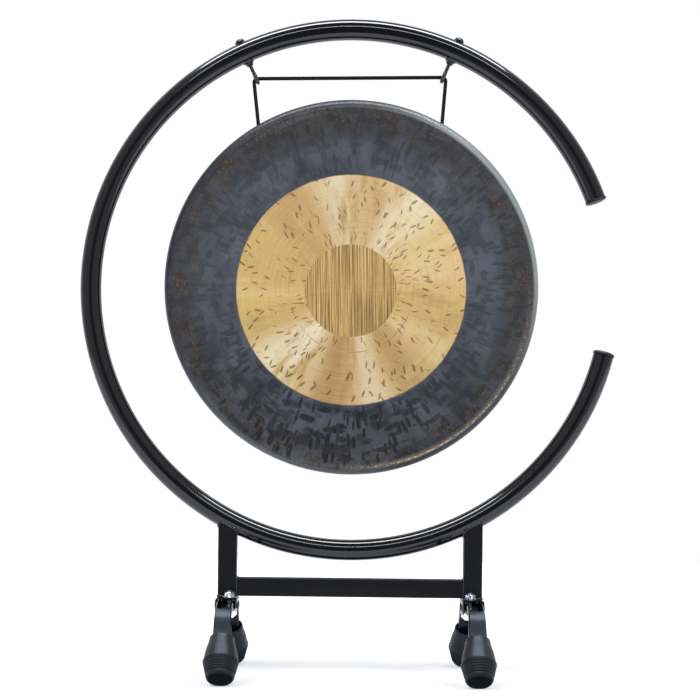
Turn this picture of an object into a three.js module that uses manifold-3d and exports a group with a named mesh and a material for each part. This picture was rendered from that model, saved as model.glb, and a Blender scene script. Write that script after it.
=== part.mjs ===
// Gong stand: an open tube hoop on two posts, four folding legs with rubber feet, and its gong.
// Millimetres, +Z up. +X is to the right and +Y away from someone who faces the gong.
// The origin lies on the floor, straight below the centre of the hoop.
import * as THREE from "three";
import { mergeVertices } from "three/addons/utils/BufferGeometryUtils.js";
import Module from "manifold-3d";

const wasm = await Module();
wasm.setup();

const radians = THREE.MathUtils.degToRad;
const { sin, cos, tan, hypot, PI } = Math;

// Fits
const clearance = 0.3;
const overrun = 5;

// Gong
const gongSize = 508;
const gongSheet = 2.2;
const gongDome = 6;
const gongShoulder = 13;
const gongRimDepth = 38;
const gongRimDraw = 3;
const gongHoleDepth = 14;
const gongHoleAngle = radians(29.47);
const gongHole = 6.4;
const gongLift = 2.83;
const gongSegments = 56;

// Hoop
const hoopMargin = 98.5;
const hoopTube = 28;
const hoopWall = 2;
const hoopGap = 24;
const hoopTurn = radians(1.15);
const mouthTop = radians(19.85);
const mouthBottom = radians(-15.15);
const hoopSides = 14;
const hoopSteps = 60;
const boreSides = 8;

// End caps of the hoop
const capFlange = 29.5;
const capRim = 2;
const capDome = 3.4;
const capSpigot = 14;
const capFit = 0.2;

// Posts and crossbar
const postSpacing = 330.8;
const postShift = 2.5;
const postSize = 25;
const postWall = 1.5;
const postCorner = 2.5;
const postFoot = 106;
const crossbarLift = 1;

// Foot brackets
const bracketEnd = 8;
const bracketInside = 24;
const bracketSheet = 2.5;
const bracketDrop = 20;
const bracketBend = 4.5;
const bracketCorner = 8;

// Stop screws of the legs, with their lock nuts
const screwSize = 6.8;
const screwDrop = 12.5;
const screwTail = 2;
const nutFlats = 13;
const nutHeight = 5.4;
const nutFlange = 17;
const nutFlangeHeight = 1.6;
const screwReach = 25;
const screwInboard = 4.6;

// Leg pivots
const pivotReach = 16;
const pivotDrop = 11.8;
const pinSize = 7;
const pinHead = 11;
const pinHeadHeight = 1.3;

// Legs
const legSheet = 2;
const legEdge = 1.6;
const legSideGap = 1.6;
const legMouthWidth = 24.4;
const legRake = radians(37);
const legReach = 106.7;
const legWebOffset = 7.4;
const legBackOffset = 6;
const legInsert = 30;
const legShoulder = 25;
const legArmpit = 18;
const legWebDrop = 9;
const legWebSlant = radians(11);
const legRearRise = 15;
const legRearSlant = radians(43);

// Rubber feet
const footLength = 62.6;
const footMouthWall = 1.4;
const footLip = 1.2;
const footFlare = 41;
const footFlareAt = 20.5;
const footBelly = 46;
const footBellyAt = 38;
const footSole = 32;
const footSoleRound = 3.5;
const footSegments = 16;
const grooveCount = 5;
const grooveStart = 40;
const groovePitch = 3.9;
const grooveWidth = 1.8;
const grooveDepth = 0.9;
const floorFlat = 1;

// Eye bolts
const eyeAngle = radians(23.85);
const eyeStock = 5.2;
const eyeOuter = 19.2;
const eyeDrop = 33.3;
const saddleWidth = 17.6;
const saddleHeight = 6;
const saddleNeck = 9;
const capNutWidth = 13.5;
const capNutHeight = 5.6;
const capNutBrim = 1.6;

// Cord
const cordSize = 5;
const knotSize = 13;
const knotGap = 0.9;

const finish = {
  gloss: { color: 0x0c0c0e, roughness: 0.18, metalness: 0.1 },
  satin: { color: 0x1b1b1d, roughness: 0.45, metalness: 0.1 },
  pressed: { color: 0x303236, roughness: 0.4, metalness: 0.2 },
  plastic: { color: 0x101012, roughness: 0.5, metalness: 0 },
  rubber: { color: 0x3a3e43, roughness: 0.75, metalness: 0 },
  zinc: { color: 0xc9ccd2, roughness: 0.3, metalness: 1 },
  cord: { color: 0x111113, roughness: 0.9, metalness: 0 },
  bronze: { color: 0xb8924e, roughness: 0.4, metalness: 1 },
};

// A closed geometry as a solid that can be joined and cut.
function solid(geometry) {
  const bare = geometry.clone();
  bare.deleteAttribute("normal");
  bare.deleteAttribute("uv");
  const merged = mergeVertices(bare);
  const vertProperties = new Float32Array(merged.attributes.position.array);
  const triVerts = new Uint32Array(merged.index.array);
  return new wasm.Manifold(new wasm.Mesh({ numProp: 3, vertProperties, triVerts }));
}

// A solid as a geometry.
function shell(body) {
  const { vertProperties, triVerts } = body.getMesh();
  const geometry = new THREE.BufferGeometry();
  geometry.setAttribute("position", new THREE.BufferAttribute(vertProperties, 3));
  geometry.setIndex(new THREE.BufferAttribute(triVerts, 1));
  const flat = geometry.toNonIndexed();
  flat.computeVertexNormals();
  return flat;
}

function cut(body, ...tools) {
  return tools.reduce((rest, tool) => rest.subtract(solid(tool)), body);
}

function piece(name, geometry, look) {
  const mesh = new THREE.Mesh(geometry, new THREE.MeshStandardMaterial(look));
  mesh.name = name;
  return mesh;
}

// An outline in X and Z, carried along Y and centred there.
function extrudeY(shape, depth) {
  const geometry = new THREE.ExtrudeGeometry(shape, { depth, bevelEnabled: false, curveSegments: 4 });
  return geometry.translate(0, 0, -depth / 2).rotateX(PI / 2);
}

// An outline in Y and Z, carried along X and centred there, with rounded edges on request.
function extrudeX(shape, width, edge = 0) {
  const geometry = new THREE.ExtrudeGeometry(shape, {
    depth: width - 2 * edge,
    bevelEnabled: edge > 0,
    bevelSize: edge,
    bevelOffset: -edge,
    bevelThickness: edge,
    bevelSegments: 1,
    curveSegments: 5,
  });
  const axes = [new THREE.Vector3(0, 1, 0), new THREE.Vector3(0, 0, 1), new THREE.Vector3(1, 0, 0)];
  return geometry.translate(0, 0, edge - width / 2).applyMatrix4(new THREE.Matrix4().makeBasis(...axes));
}

function circle(radius, sides) {
  const points = [];
  for (let i = 0; i < sides; i++) {
    const turn = (2 * PI * i) / sides;
    points.push(new THREE.Vector2(radius * cos(turn), radius * sin(turn)));
  }
  return points;
}

// A round bar along one axis.
function bar(radius, length, sides, axis) {
  const geometry = new THREE.CylinderGeometry(radius, radius, length, sides);
  if (axis === "x") geometry.rotateZ(PI / 2);
  if (axis === "z") geometry.rotateX(PI / 2);
  return geometry;
}

// A turned body about Y, from radius and height pairs that run from low to high.
function turned(profile, segments) {
  return new THREE.LatheGeometry(
    profile.map(([radius, height]) => new THREE.Vector2(radius, height)),
    segments,
  );
}

// Points of a quarter round about a centre, as radius and height pairs.
function round(centreRadius, centreHeight, size, from, to, steps) {
  const points = [];
  for (let i = 0; i <= steps; i++) {
    const turn = from + ((to - from) * i) / steps;
    points.push([centreRadius + size * cos(turn), centreHeight + size * sin(turn)]);
  }
  return points;
}

class HoopCurve extends THREE.Curve {
  constructor(radius, from, to) {
    super();
    Object.assign(this, { radius, from, to });
  }

  getPoint(t, target = new THREE.Vector3()) {
    const turn = this.from + t * (this.to - this.from);
    return target.set(this.radius * cos(turn), 0, this.radius * sin(turn));
  }
}

// The hoop and all that hangs in it, in a frame that turns about the hoop's centre.

const gongRadius = gongSize / 2;
const hoopRadius = gongRadius + hoopMargin;
const tubeRadius = hoopTube / 2;
const boreRadius = tubeRadius - hoopWall;
const hoopHeight = postFoot + crossbarLift + postSize + hoopGap + tubeRadius + hoopRadius;

function hoopSweep(radius, sides, bore) {
  const section = new THREE.Shape(circle(radius, sides));
  if (bore) section.holes.push(new THREE.Path(circle(bore, boreSides)));
  const extrudePath = new HoopCurve(hoopRadius, mouthTop, 2 * PI + mouthBottom);
  return new THREE.ExtrudeGeometry(section, { steps: hoopSteps, extrudePath });
}

// Places a geometry whose Y axis points out of the hoop, at an eye bolt's angle from the top.
function atEye(geometry, side) {
  return geometry.translate(0, hoopRadius, 0).rotateX(PI / 2).rotateY(side * eyeAngle);
}

const eyeRing = (eyeOuter - eyeStock) / 2;
const eyeCentre = tubeRadius + eyeDrop - eyeOuter / 2;
const boltSides = 10;

function hoopTubeMesh() {
  const drill = eyeStock / 2 + clearance;
  const holes = [-1, 1].map((side) => {
    return atEye(bar(drill, hoopTube + overrun, boltSides, "y"), side);
  });
  return piece("ring_tube", shell(cut(solid(hoopSweep(tubeRadius, hoopSides, boreRadius)), ...holes)), finish.gloss);
}

function endCap(name, turn, sense) {
  const sag = (capSpigot * capSpigot) / (8 * hoopRadius);
  const spigot = boreRadius * cos(PI / boreSides) - clearance - capFit - 4 * sag;
  const flange = capFlange / 2;
  const profile = [
    [0, -capSpigot],
    [spigot - capRim / 2, -capSpigot],
    [spigot, capRim / 2 - capSpigot],
    [spigot, clearance],
    [flange, clearance],
    [flange, clearance + capRim / 2],
    [flange - capRim / 2, clearance + capRim],
    [flange / 2, clearance + capRim + capDome * 0.8],
    [0, clearance + capRim + capDome],
  ];
  const mesh = piece(name, turned(profile, hoopSides), finish.plastic);
  mesh.position.set(hoopRadius * cos(turn), 0, hoopRadius * sin(turn));
  const outward = new THREE.Vector3(-sin(turn) * sense, 0, cos(turn) * sense);
  mesh.quaternion.setFromUnitVectors(new THREE.Vector3(0, 1, 0), outward);
  return mesh;
}

function eyeBolt(side) {
  const top = tubeRadius + capNutHeight / 2;
  const foot = eyeCentre - eyeRing;
  const shank = bar(eyeStock / 2, top + foot, boltSides, "y").translate(0, (top - foot) / 2, 0);
  const eye = new THREE.TorusGeometry(eyeRing, eyeStock / 2, 8, 16);
  eye.rotateY(PI / 2).translate(0, -eyeCentre, 0);
  return solid(atEye(shank, side)).add(solid(atEye(eye, side)));
}

function saddleNut(side) {
  const bore = eyeStock / 2 + clearance;
  const seat = -tubeRadius * 0.8;
  const foot = -tubeRadius - saddleHeight;
  const profile = [
    [bore, foot],
    [saddleNeck / 2, foot],
    [saddleNeck / 2 + capNutBrim / 2, foot / 2 - tubeRadius / 2],
    [saddleWidth / 2, -tubeRadius - clearance],
    [saddleWidth / 2, seat],
    [bore, seat],
    [bore, foot],
  ];
  return cut(solid(atEye(turned(profile, boltSides), side)), hoopSweep(tubeRadius + clearance, hoopSides));
}

function capNut(side) {
  const bore = eyeStock / 2 + clearance;
  const seat = tubeRadius * 0.8;
  const crown = tubeRadius + clearance + capNutHeight;
  const brim = tubeRadius + clearance + capNutBrim;
  const roof = tubeRadius + capNutHeight / 2 + clearance;
  const profile = [
    [bore, seat],
    [capNutWidth / 2, seat],
    [capNutWidth / 2, brim],
    [capNutWidth * 0.4, (brim + crown) / 2],
    [capNutWidth * 0.2, crown - clearance],
    [0, crown],
    [0, roof],
    [bore, roof],
    [bore, seat],
  ];
  return cut(solid(atEye(turned(profile, boltSides), side)), hoopSweep(tubeRadius + clearance, hoopSides));
}

// The cord runs over the lowest bar of each eye and down to a hole in the gong's rim.
const wrap = (eyeStock + cordSize) / 2 + clearance;
const stockRadius = hoopRadius - eyeCentre - eyeRing;
const stockX = stockRadius * sin(eyeAngle);
const stockZ = stockRadius * cos(eyeAngle);
const axisZ = stockZ + wrap;
const cordSides = 8;

const holeRadius = rimRadius(gongHoleDepth) - gongSheet / 2;
const holeX = holeRadius * sin(gongHoleAngle);
const holeRise = holeRadius * cos(gongHoleAngle);
const holeZ = gongLift + holeRise;
const eyeAside = stockX - holeX;
const eyeAbove = stockZ - holeZ;
const cordLean = Math.atan2(eyeAside, eyeAbove) + Math.asin(wrap / hypot(eyeAside, eyeAbove));
const runTop = new THREE.Vector2(stockX + wrap * cos(cordLean), stockZ - wrap * sin(cordLean));

class DropCurve extends THREE.Curve {
  constructor(side, past) {
    super();
    const run = (runTop.y - holeZ) / cos(cordLean) + past;
    Object.assign(this, { side, run, bend: wrap * (PI / 2 + cordLean) });
  }

  getPoint(t, target = new THREE.Vector3()) {
    const way = t * (this.bend + this.run);
    if (way < this.bend) {
      const turn = way / wrap;
      return target.set(this.side * (stockX + wrap * sin(turn)), 0, stockZ + wrap * cos(turn));
    }
    const down = way - this.bend;
    return target.set(this.side * (runTop.x - down * sin(cordLean)), 0, runTop.y - down * cos(cordLean));
  }
}

function dropTube(side, size, past) {
  const section = new THREE.Shape(circle(size / 2, cordSides));
  return new THREE.ExtrudeGeometry(section, { steps: 16, extrudePath: new DropCurve(side, past) });
}

// The gong, about its own axis: Y is depth behind the crease between face and rim.

const creaseRadius = gongRadius - gongShoulder;

function faceDepth(radius) {
  return -gongDome * (1 - (radius / creaseRadius) ** 2);
}

function rimRadius(depth) {
  return gongRadius - (gongRimDraw * (depth - gongShoulder)) / (gongRimDepth - gongShoulder);
}

function gongProfile() {
  const rings = [0, 1, 2].map((i) => (creaseRadius * i) / 3);
  const front = rings.map((radius) => [radius, faceDepth(radius)]);
  const back = rings.map((radius) => [radius, faceDepth(radius) + gongSheet]).reverse();
  const outer = round(creaseRadius, gongShoulder, gongShoulder, -PI / 2, 0, 4);
  const inner = round(creaseRadius, gongShoulder, gongShoulder - gongSheet, 0, -PI / 2, 3);
  const lip = [
    [rimRadius(gongRimDepth), gongRimDepth],
    [rimRadius(gongRimDepth) - gongSheet, gongRimDepth],
  ];
  return [...front, ...outer, ...lip, ...inner, ...back];
}

// Depth of the centre of mass of a closed geometry.
function massDepth(geometry) {
  const place = geometry.toNonIndexed().attributes.position;
  const corner = [new THREE.Vector3(), new THREE.Vector3(), new THREE.Vector3()];
  let volume = 0;
  let moment = 0;
  for (let i = 0; i < place.count; i += 3) {
    corner.forEach((point, k) => point.fromBufferAttribute(place, i + k));
    const wedge = corner[0].dot(corner[1].clone().cross(corner[2]));
    volume += wedge;
    moment += (wedge * (corner[0].y + corner[1].y + corner[2].y)) / 4;
  }
  return moment / volume;
}

function gongHanging() {
  const disc = turned(gongProfile(), gongSegments);
  const nod = Math.atan2(gongHoleDepth - massDepth(disc), holeRise);
  const place = new THREE.Object3D();
  place.rotation.x = nod;
  place.position.y = holeRise * sin(nod) - gongHoleDepth * cos(nod);
  place.position.z = holeZ - holeRise * cos(nod) - gongHoleDepth * sin(nod);
  place.updateMatrix();
  const undo = place.matrix.clone().invert();
  const drills = [-1, 1].map((side) => dropTube(side, gongHole, knotSize).applyMatrix4(undo));
  const gong = piece("gong", shell(cut(solid(disc), ...drills)), finish.bronze);
  gong.position.copy(place.position);
  gong.rotation.copy(place.rotation);
  return gong;
}

// The knot is a ball against the inside of the rim, on the line of the cord.
const knotDown = (gongSheet / 2 + knotGap + knotSize / 2) / cos(gongHoleAngle - cordLean);

function knot(side) {
  const mesh = piece("knot_" + sideName(side), new THREE.SphereGeometry(knotSize / 2, 12, 8), finish.cord);
  const x = side * (holeX - knotDown * sin(cordLean));
  mesh.position.set(x, 0, holeZ - knotDown * cos(cordLean));
  return mesh;
}

function sideName(side) {
  return side < 0 ? "left" : "right";
}

function hoopGroup() {
  const hoop = new THREE.Group();
  hoop.position.z = hoopHeight;
  hoop.rotation.y = -hoopTurn;
  hoop.add(hoopTubeMesh());
  hoop.add(endCap("end_cap_upper", mouthTop, -1));
  hoop.add(endCap("end_cap_lower", mouthBottom, 1));
  const span = 2 * (stockX - clearance / 2);
  const stretch = bar(cordSize / 2, span, cordSides, "x").translate(0, 0, axisZ);
  hoop.add(piece("cord_span", stretch, finish.cord));
  for (const side of [-1, 1]) {
    const name = sideName(side);
    hoop.add(piece("eye_bolt_" + name, shell(eyeBolt(side)), finish.gloss));
    hoop.add(piece("saddle_nut_" + name, shell(saddleNut(side)), finish.gloss));
    hoop.add(piece("cap_nut_" + name, shell(capNut(side)), finish.gloss));
    const reach = knotDown - knotSize / 2 - clearance;
    const drop = piece("cord_drop_" + name, dropTube(side, cordSize, reach), finish.cord);
    drop.position.x = (side * clearance) / 2;
    hoop.add(drop, knot(side));
  }
  hoop.add(gongHanging());
  return hoop;
}

// Posts and crossbar

function squareTube(length) {
  const outline = (size, corner) => {
    const half = size / 2;
    const path = new THREE.Path();
    path.absarc(half - corner, half - corner, corner, 0, PI / 2);
    path.absarc(corner - half, half - corner, corner, PI / 2, PI);
    path.absarc(corner - half, corner - half, corner, PI, PI * 1.5);
    path.absarc(half - corner, corner - half, corner, PI * 1.5, PI * 2);
    return path;
  };
  const section = new THREE.Shape(outline(postSize, postCorner).getPoints(3));
  section.holes.push(new THREE.Path(outline(postSize - 2 * postWall, postCorner - postWall).getPoints(1)));
  return new THREE.ExtrudeGeometry(section, { depth: length, bevelEnabled: false });
}

function post(side) {
  const x = (side * postSpacing) / 2;
  const tube = squareTube(hoopHeight - postFoot).translate(x, 0, postFoot + clearance);
  const inside = bar(hoopRadius, postSize + overrun, 4 * hoopSteps, "y");
  const seat = hoopSweep(tubeRadius + clearance, hoopSides).rotateY(-hoopTurn);
  for (const tool of [inside, seat]) tool.translate(-postShift, 0, hoopHeight);
  return piece("upright_" + sideName(side), shell(cut(solid(tube), inside, seat)), finish.satin);
}

function crossbar() {
  const length = postSpacing - postSize - 2 * clearance;
  const tube = squareTube(length).translate(0, 0, -length / 2).rotateY(PI / 2);
  const mesh = piece("crossbar", tube, finish.satin);
  mesh.position.z = postFoot + crossbarLift + postSize / 2;
  return mesh;
}

// Foot brackets: an arched channel under each post, with the legs pinned in it.

const bracketWidth = bracketInside + 2 * bracketSheet;
const bracketDepth = 2 * (screwReach + bracketEnd);
const pivotZ = postFoot - pivotDrop;

function bracket(side) {
  const half = bracketWidth / 2;
  const inside = bracketInside / 2;
  const inner = bracketBend - bracketSheet;
  const arch = new THREE.Shape();
  arch.moveTo(half, -bracketDrop);
  arch.absarc(half - bracketBend, -bracketBend, bracketBend, 0, PI / 2);
  arch.absarc(bracketBend - half, -bracketBend, bracketBend, PI / 2, PI);
  arch.lineTo(-half, -bracketDrop);
  arch.lineTo(-inside, -bracketDrop);
  arch.absarc(inner - inside, -bracketBend, inner, PI, PI / 2, true);
  arch.absarc(inside - inner, -bracketBend, inner, PI / 2, 0, true);
  arch.lineTo(inside, -bracketDrop);
  const end = bracketDepth / 2;
  const low = bracketCorner - bracketDrop;
  const cheek = new THREE.Shape();
  cheek.moveTo(end, overrun);
  cheek.lineTo(-end, overrun);
  cheek.absarc(bracketCorner - end, low, bracketCorner, PI, PI * 1.5);
  cheek.absarc(end - bracketCorner, low, bracketCorner, PI * 1.5, PI * 2);
  const pins = [-1, 1].map((fore) => {
    const drill = bar(pinSize / 2 + clearance, bracketWidth + overrun, boltSides, "x");
    return drill.translate(0, fore * pivotReach, pivotZ - postFoot);
  });
  const screws = [-1, 1].map((fore) => {
    const drill = bar(screwSize / 2 + clearance, bracketDrop, boltSides, "z");
    return drill.translate(-side * screwInboard, fore * screwReach, 0);
  });
  const body = solid(extrudeY(arch, bracketDepth)).intersect(solid(extrudeX(cheek, bracketWidth + overrun)));
  const mesh = piece("bracket_" + sideName(side), shell(cut(body, ...pins, ...screws)), finish.pressed);
  mesh.position.set((side * postSpacing) / 2, 0, postFoot);
  return mesh;
}

function stopScrew() {
  const top = clearance + nutFlangeHeight + nutHeight + screwTail;
  return bar(screwSize / 2, top + screwDrop, boltSides, "z").translate(0, 0, (top - screwDrop) / 2);
}

function lockNut() {
  const height = nutFlangeHeight + nutHeight;
  const hex = bar(nutFlats / 2 / cos(PI / 6), height, 6, "z").translate(0, 0, clearance + height / 2);
  const disc = bar(nutFlange / 2, nutFlangeHeight, 16, "z");
  disc.translate(0, 0, clearance + nutFlangeHeight / 2);
  const bore = bar(screwSize / 2 + clearance, height + overrun, boltSides, "z").translate(0, 0, height / 2);
  return shell(cut(solid(hex).add(solid(disc)), bore));
}

function pivotPin() {
  const face = bracketWidth / 2 + clearance;
  const half = [
    [pinSize / 2, face],
    [pinHead / 2, face],
    [pinHead / 2 - pinHeadHeight / 2, face + pinHeadHeight * 0.7],
    [0, face + pinHeadHeight],
  ];
  const mirrored = half.map(([radius, height]) => [radius, -height]).reverse();
  return turned([...mirrored, ...half], boltSides).rotateZ(PI / 2);
}

// Legs, in a frame where Y points outwards from the post and Z is height above the floor.

const armWidth = bracketInside - 2 * legSideGap;
const armTop = postFoot - bracketSheet - clearance;
const mouthZ = (footSole / 2) * sin(legRake) + footLength * cos(legRake) - floorFlat;

// A point at a distance past the mouth of the foot, and in front of the foot's axis.
function onLeg(past, front) {
  return new THREE.Vector2(
    legReach + past * sin(legRake) + front * cos(legRake),
    mouthZ - past * cos(legRake) + front * sin(legRake),
  );
}

// The bend from a level line down to the leg's own line at an offset from the foot's axis.
function legBend(level, offset, size) {
  const start = onLeg(0, offset);
  const corner = onLeg((start.y - level) / cos(legRake), offset);
  const foot = onLeg((start.y - level) / cos(legRake) + size, offset);
  return new THREE.QuadraticBezierCurve(new THREE.Vector2(corner.x - size, level), corner, foot);
}

const armHalf = armTop - pivotZ;
const shoulder = legBend(armTop, legWebOffset, legShoulder);
const armpit = legBend(pivotZ - armHalf, -legBackOffset, legArmpit);
const bendSteps = 5;

function legOutline() {
  const outline = new THREE.Shape();
  const tips = [onLeg(legInsert, legWebOffset), onLeg(legInsert, -legBackOffset)];
  outline.absarc(pivotReach, pivotZ, armHalf, PI * 1.5, PI / 2, true);
  for (const point of [...shoulder.getPoints(bendSteps), ...tips, ...armpit.getPoints(bendSteps).reverse()]) {
    outline.lineTo(point.x, point.y);
  }
  return outline;
}

// The space between the flanges. A front leg keeps its web on the outer side of the bend,
// a rear leg keeps it on the inner side, from above the rubber foot downwards.
function legCore(fore) {
  const end = -bracketDepth;
  const far = legInsert + overrun;
  const core = new THREE.Shape();
  if (fore < 0) {
    core.moveTo(end, armTop - legSheet);
    shoulder.getPoints(bendSteps).forEach((point, i) => {
      const along = shoulder.getTangent(i / bendSteps);
      core.lineTo(point.x + along.y * legSheet, point.y - along.x * legSheet);
    });
    const tips = [onLeg(far, legWebOffset - legSheet), onLeg(far, -bracketDepth)];
    for (const point of tips) core.lineTo(point.x, point.y);
    core.lineTo(end, tips[1].y);
  } else {
    const inside = legSheet - legBackOffset;
    const reach = -legRearRise - (armWidth * tan(legRearSlant)) / (2 * cos(legRake));
    const lower = [onLeg(far, inside), onLeg(reach, inside), onLeg(reach, -bracketDepth)];
    core.moveTo(end, armTop + overrun);
    core.lineTo(onLeg(far, bracketDepth).x, armTop + overrun);
    core.lineTo(onLeg(far, bracketDepth).x, onLeg(far, bracketDepth).y);
    for (const point of lower) core.lineTo(point.x, point.y);
    core.lineTo(end, lower[2].y);
  }
  return extrudeX(core, armWidth - 2 * legSheet);
}

// The web ends in a slanted edge: a front one short of the bracket, lower towards the stand's middle,
// and a rear one above the rubber foot, higher towards it.
function legWebCut(fore, inboard) {
  const half = armWidth / 2 - legSheet;
  const edge = fore < 0 ? armTop - legWebDrop : onLeg(-legRearRise, -legBackOffset).y;
  const rise = half * tan(fore < 0 ? legWebSlant : -legRearSlant) * inboard;
  const gap = new THREE.Shape();
  gap.moveTo(-half, edge + rise);
  gap.lineTo(half, edge - rise);
  gap.lineTo(half, armTop + overrun);
  gap.lineTo(-half, armTop + overrun);
  return extrudeY(gap, 2 * (legReach + footLength));
}

function leg(fore, inboard) {
  const blank = solid(extrudeX(legOutline(), armWidth, legEdge));
  const pin = bar(pinSize / 2 + clearance, armWidth + overrun, boltSides, "x").translate(0, pivotReach, pivotZ);
  const geometry = shell(cut(blank, legCore(fore), legWebCut(fore, inboard), pin));
  const place = geometry.attributes.position;
  const flareEnd = onLeg(0, 0).x;
  const flareStart = shoulder.v1.x;
  for (let i = 0; i < place.count; i++) {
    const share = THREE.MathUtils.clamp((place.getY(i) - flareStart) / (flareEnd - flareStart), 0, 1);
    place.setX(i, place.getX(i) * (1 + share * (legMouthWidth / armWidth - 1)));
  }
  return geometry;
}

// Rubber feet, turned about the leg's axis from mouth to sole, with a flat where they meet the floor.

const socketCorner = hypot(legMouthWidth / 2 - legEdge, legWebOffset - legEdge) + legEdge;
const socketRadius = (socketCorner + clearance) / cos(PI / footSegments);
const footMouth = socketRadius + footMouthWall;

function footProfile() {
  const socketDepth = legInsert + clearance;
  const belly = footBelly / 2;
  const bandEnd = grooveStart + grooveCount * groovePitch;
  const soleEdge = footSole / 2;
  const bandRadius = soleEdge + footSoleRound * 0.7;
  const radiusAt = (height) => {
    return belly + ((bandRadius - belly) * (height - footBellyAt)) / (bandEnd - footBellyAt);
  };
  const grooves = [];
  for (let i = 0; i < grooveCount; i++) {
    const at = grooveStart + groovePitch * i;
    const half = grooveWidth / 2;
    grooves.push([radiusAt(at - half), at - half], [radiusAt(at) - grooveDepth, at]);
    grooves.push([radiusAt(at + half), at + half]);
  }
  return [
    [0, socketDepth],
    [socketRadius, socketDepth],
    [socketRadius, 0],
    [footMouth - footLip / 2, 0],
    [footMouth + footLip / 2, footLip],
    [footMouth + footLip, footLip * 6],
    [footFlare / 2, footFlareAt],
    [belly, footBellyAt],
    ...grooves,
    [bandRadius, bandEnd],
    [soleEdge, footLength],
    [0, footLength],
  ];
}

function rubberFoot() {
  const foot = turned(footProfile(), footSegments);
  foot.rotateX(legRake - PI / 2).translate(0, legReach, mouthZ);
  const below = new THREE.BoxGeometry(footBelly, footLength * 2, footBelly);
  below.translate(0, legReach + footLength / 2, -footBelly / 2);
  return shell(cut(solid(foot), below));
}

function footGroup(side) {
  const group = new THREE.Group();
  group.position.x = (side * postSpacing) / 2;
  for (const fore of [-1, 1]) {
    const name = sideName(side) + (fore < 0 ? "_front" : "_rear");
    const screw = piece("stop_screw_" + name, stopScrew(), finish.zinc);
    const nut = piece("lock_nut_" + name, lockNut(), finish.zinc);
    for (const fastener of [screw, nut]) {
      fastener.position.set(-side * screwInboard, fore * screwReach, postFoot);
      group.add(fastener);
    }
    const pin = piece("pivot_pin_" + name, pivotPin(), finish.zinc);
    pin.position.set(0, fore * pivotReach, pivotZ);
    group.add(pin);
    const turn = new THREE.Group();
    turn.rotation.z = fore < 0 ? PI : 0;
    turn.add(piece("leg_" + name, leg(fore, -side * fore), finish.pressed));
    turn.add(piece("rubber_foot_" + name, rubberFoot(), finish.rubber));
    group.add(turn);
  }
  return group;
}

const base = new THREE.Group();
base.position.x = postShift;
base.add(crossbar());
for (const side of [-1, 1]) base.add(post(side), bracket(side), footGroup(side));

const stand = new THREE.Group();
stand.add(hoopGroup(), base);

export default stand;
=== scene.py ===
# The looks of the gong stand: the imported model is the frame, and each piece rides on its body.
# Metres in the frame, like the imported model. Lengths in this file are millimetres until they are placed.
import math

import bmesh
import bpy
import numpy as np
from mathutils import Matrix, Quaternion, Vector


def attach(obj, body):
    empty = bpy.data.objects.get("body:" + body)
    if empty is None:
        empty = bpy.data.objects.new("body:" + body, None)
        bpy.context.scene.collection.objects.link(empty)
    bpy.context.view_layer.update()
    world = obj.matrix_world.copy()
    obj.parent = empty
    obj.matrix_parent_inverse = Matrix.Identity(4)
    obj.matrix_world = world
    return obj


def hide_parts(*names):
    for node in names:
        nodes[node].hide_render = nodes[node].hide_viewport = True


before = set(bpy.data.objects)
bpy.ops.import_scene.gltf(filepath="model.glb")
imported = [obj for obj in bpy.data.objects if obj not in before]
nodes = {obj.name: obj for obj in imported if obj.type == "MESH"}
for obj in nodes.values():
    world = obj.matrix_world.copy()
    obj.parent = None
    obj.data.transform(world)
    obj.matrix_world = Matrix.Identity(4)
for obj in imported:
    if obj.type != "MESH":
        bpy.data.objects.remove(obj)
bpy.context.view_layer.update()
MM = 0.001
TAU = 2 * math.pi



def placed_new(name, data):
    """A new object in the scene."""
    made = bpy.data.objects.new(name, data)
    bpy.context.collection.objects.link(made)
    return made


# Camera
LENS = 96.667
SHIFT = (0.0, 0.13)
EYE = (-18.533, -2540.669, 278.342)
YAW, PITCH, ROLL = -0.00741, 0.01534, 0.01199


def make_camera():
    right = np.array([math.cos(YAW), math.sin(YAW), 0])
    ahead = np.array([-math.sin(YAW) * math.cos(PITCH), math.cos(YAW) * math.cos(PITCH), math.sin(PITCH)])
    up = np.cross(right, ahead)
    across = math.cos(ROLL) * right + math.sin(ROLL) * up
    top = math.cos(ROLL) * up - math.sin(ROLL) * right
    data = bpy.data.cameras.new("camera")
    data.lens = LENS
    data.sensor_width = 36
    data.shift_x, data.shift_y = SHIFT
    data.clip_start, data.clip_end = 0.05, 60
    camera = placed_new("camera", data)
    turn = Matrix(np.stack((across, top, -ahead), 1).tolist()).to_4x4()
    camera.matrix_world = Matrix.Translation([v * MM for v in EYE]) @ turn
    bpy.context.scene.camera = camera


make_camera()
bpy.context.scene.view_settings.view_transform = "Standard"

# Sizes, as in the part
HOOP_RADIUS, HOOP_TUBE, HOOP_WALL, HOOP_HEIGHT = 352.5, 28, 2, 522.5
HOOP_TURN = math.radians(1.15)
MOUTH_TOP, MOUTH_BOTTOM = math.radians(19.85), math.radians(-15.15)
CAP_FLANGE, CAP_RIM, CAP_DOME, CAP_SPIGOT = 29.5, 2, 3.4, 14
POST_SPACING, POST_SHIFT, POST_SIZE, POST_CORNER, POST_FOOT = 330.8, 2.5, 25, 2.5, 106
CROSSBAR_LIFT = 1
BRACKET_INSIDE, BRACKET_SHEET = 24, 2.5
SCREW_SIZE, SCREW_DROP, SCREW_TAIL, SCREW_REACH, SCREW_INBOARD = 6.8, 12.5, 2, 25, 4.6
NUT_FLATS, NUT_HEIGHT, NUT_FLANGE, NUT_FLANGE_HEIGHT = 13, 5.4, 17, 1.6
PIVOT_REACH, PIVOT_DROP, PIN_SIZE, PIN_HEAD, PIN_HEAD_HEIGHT = 16, 11.8, 7, 11, 1.3
LEG_RAKE = math.radians(37)
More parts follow.
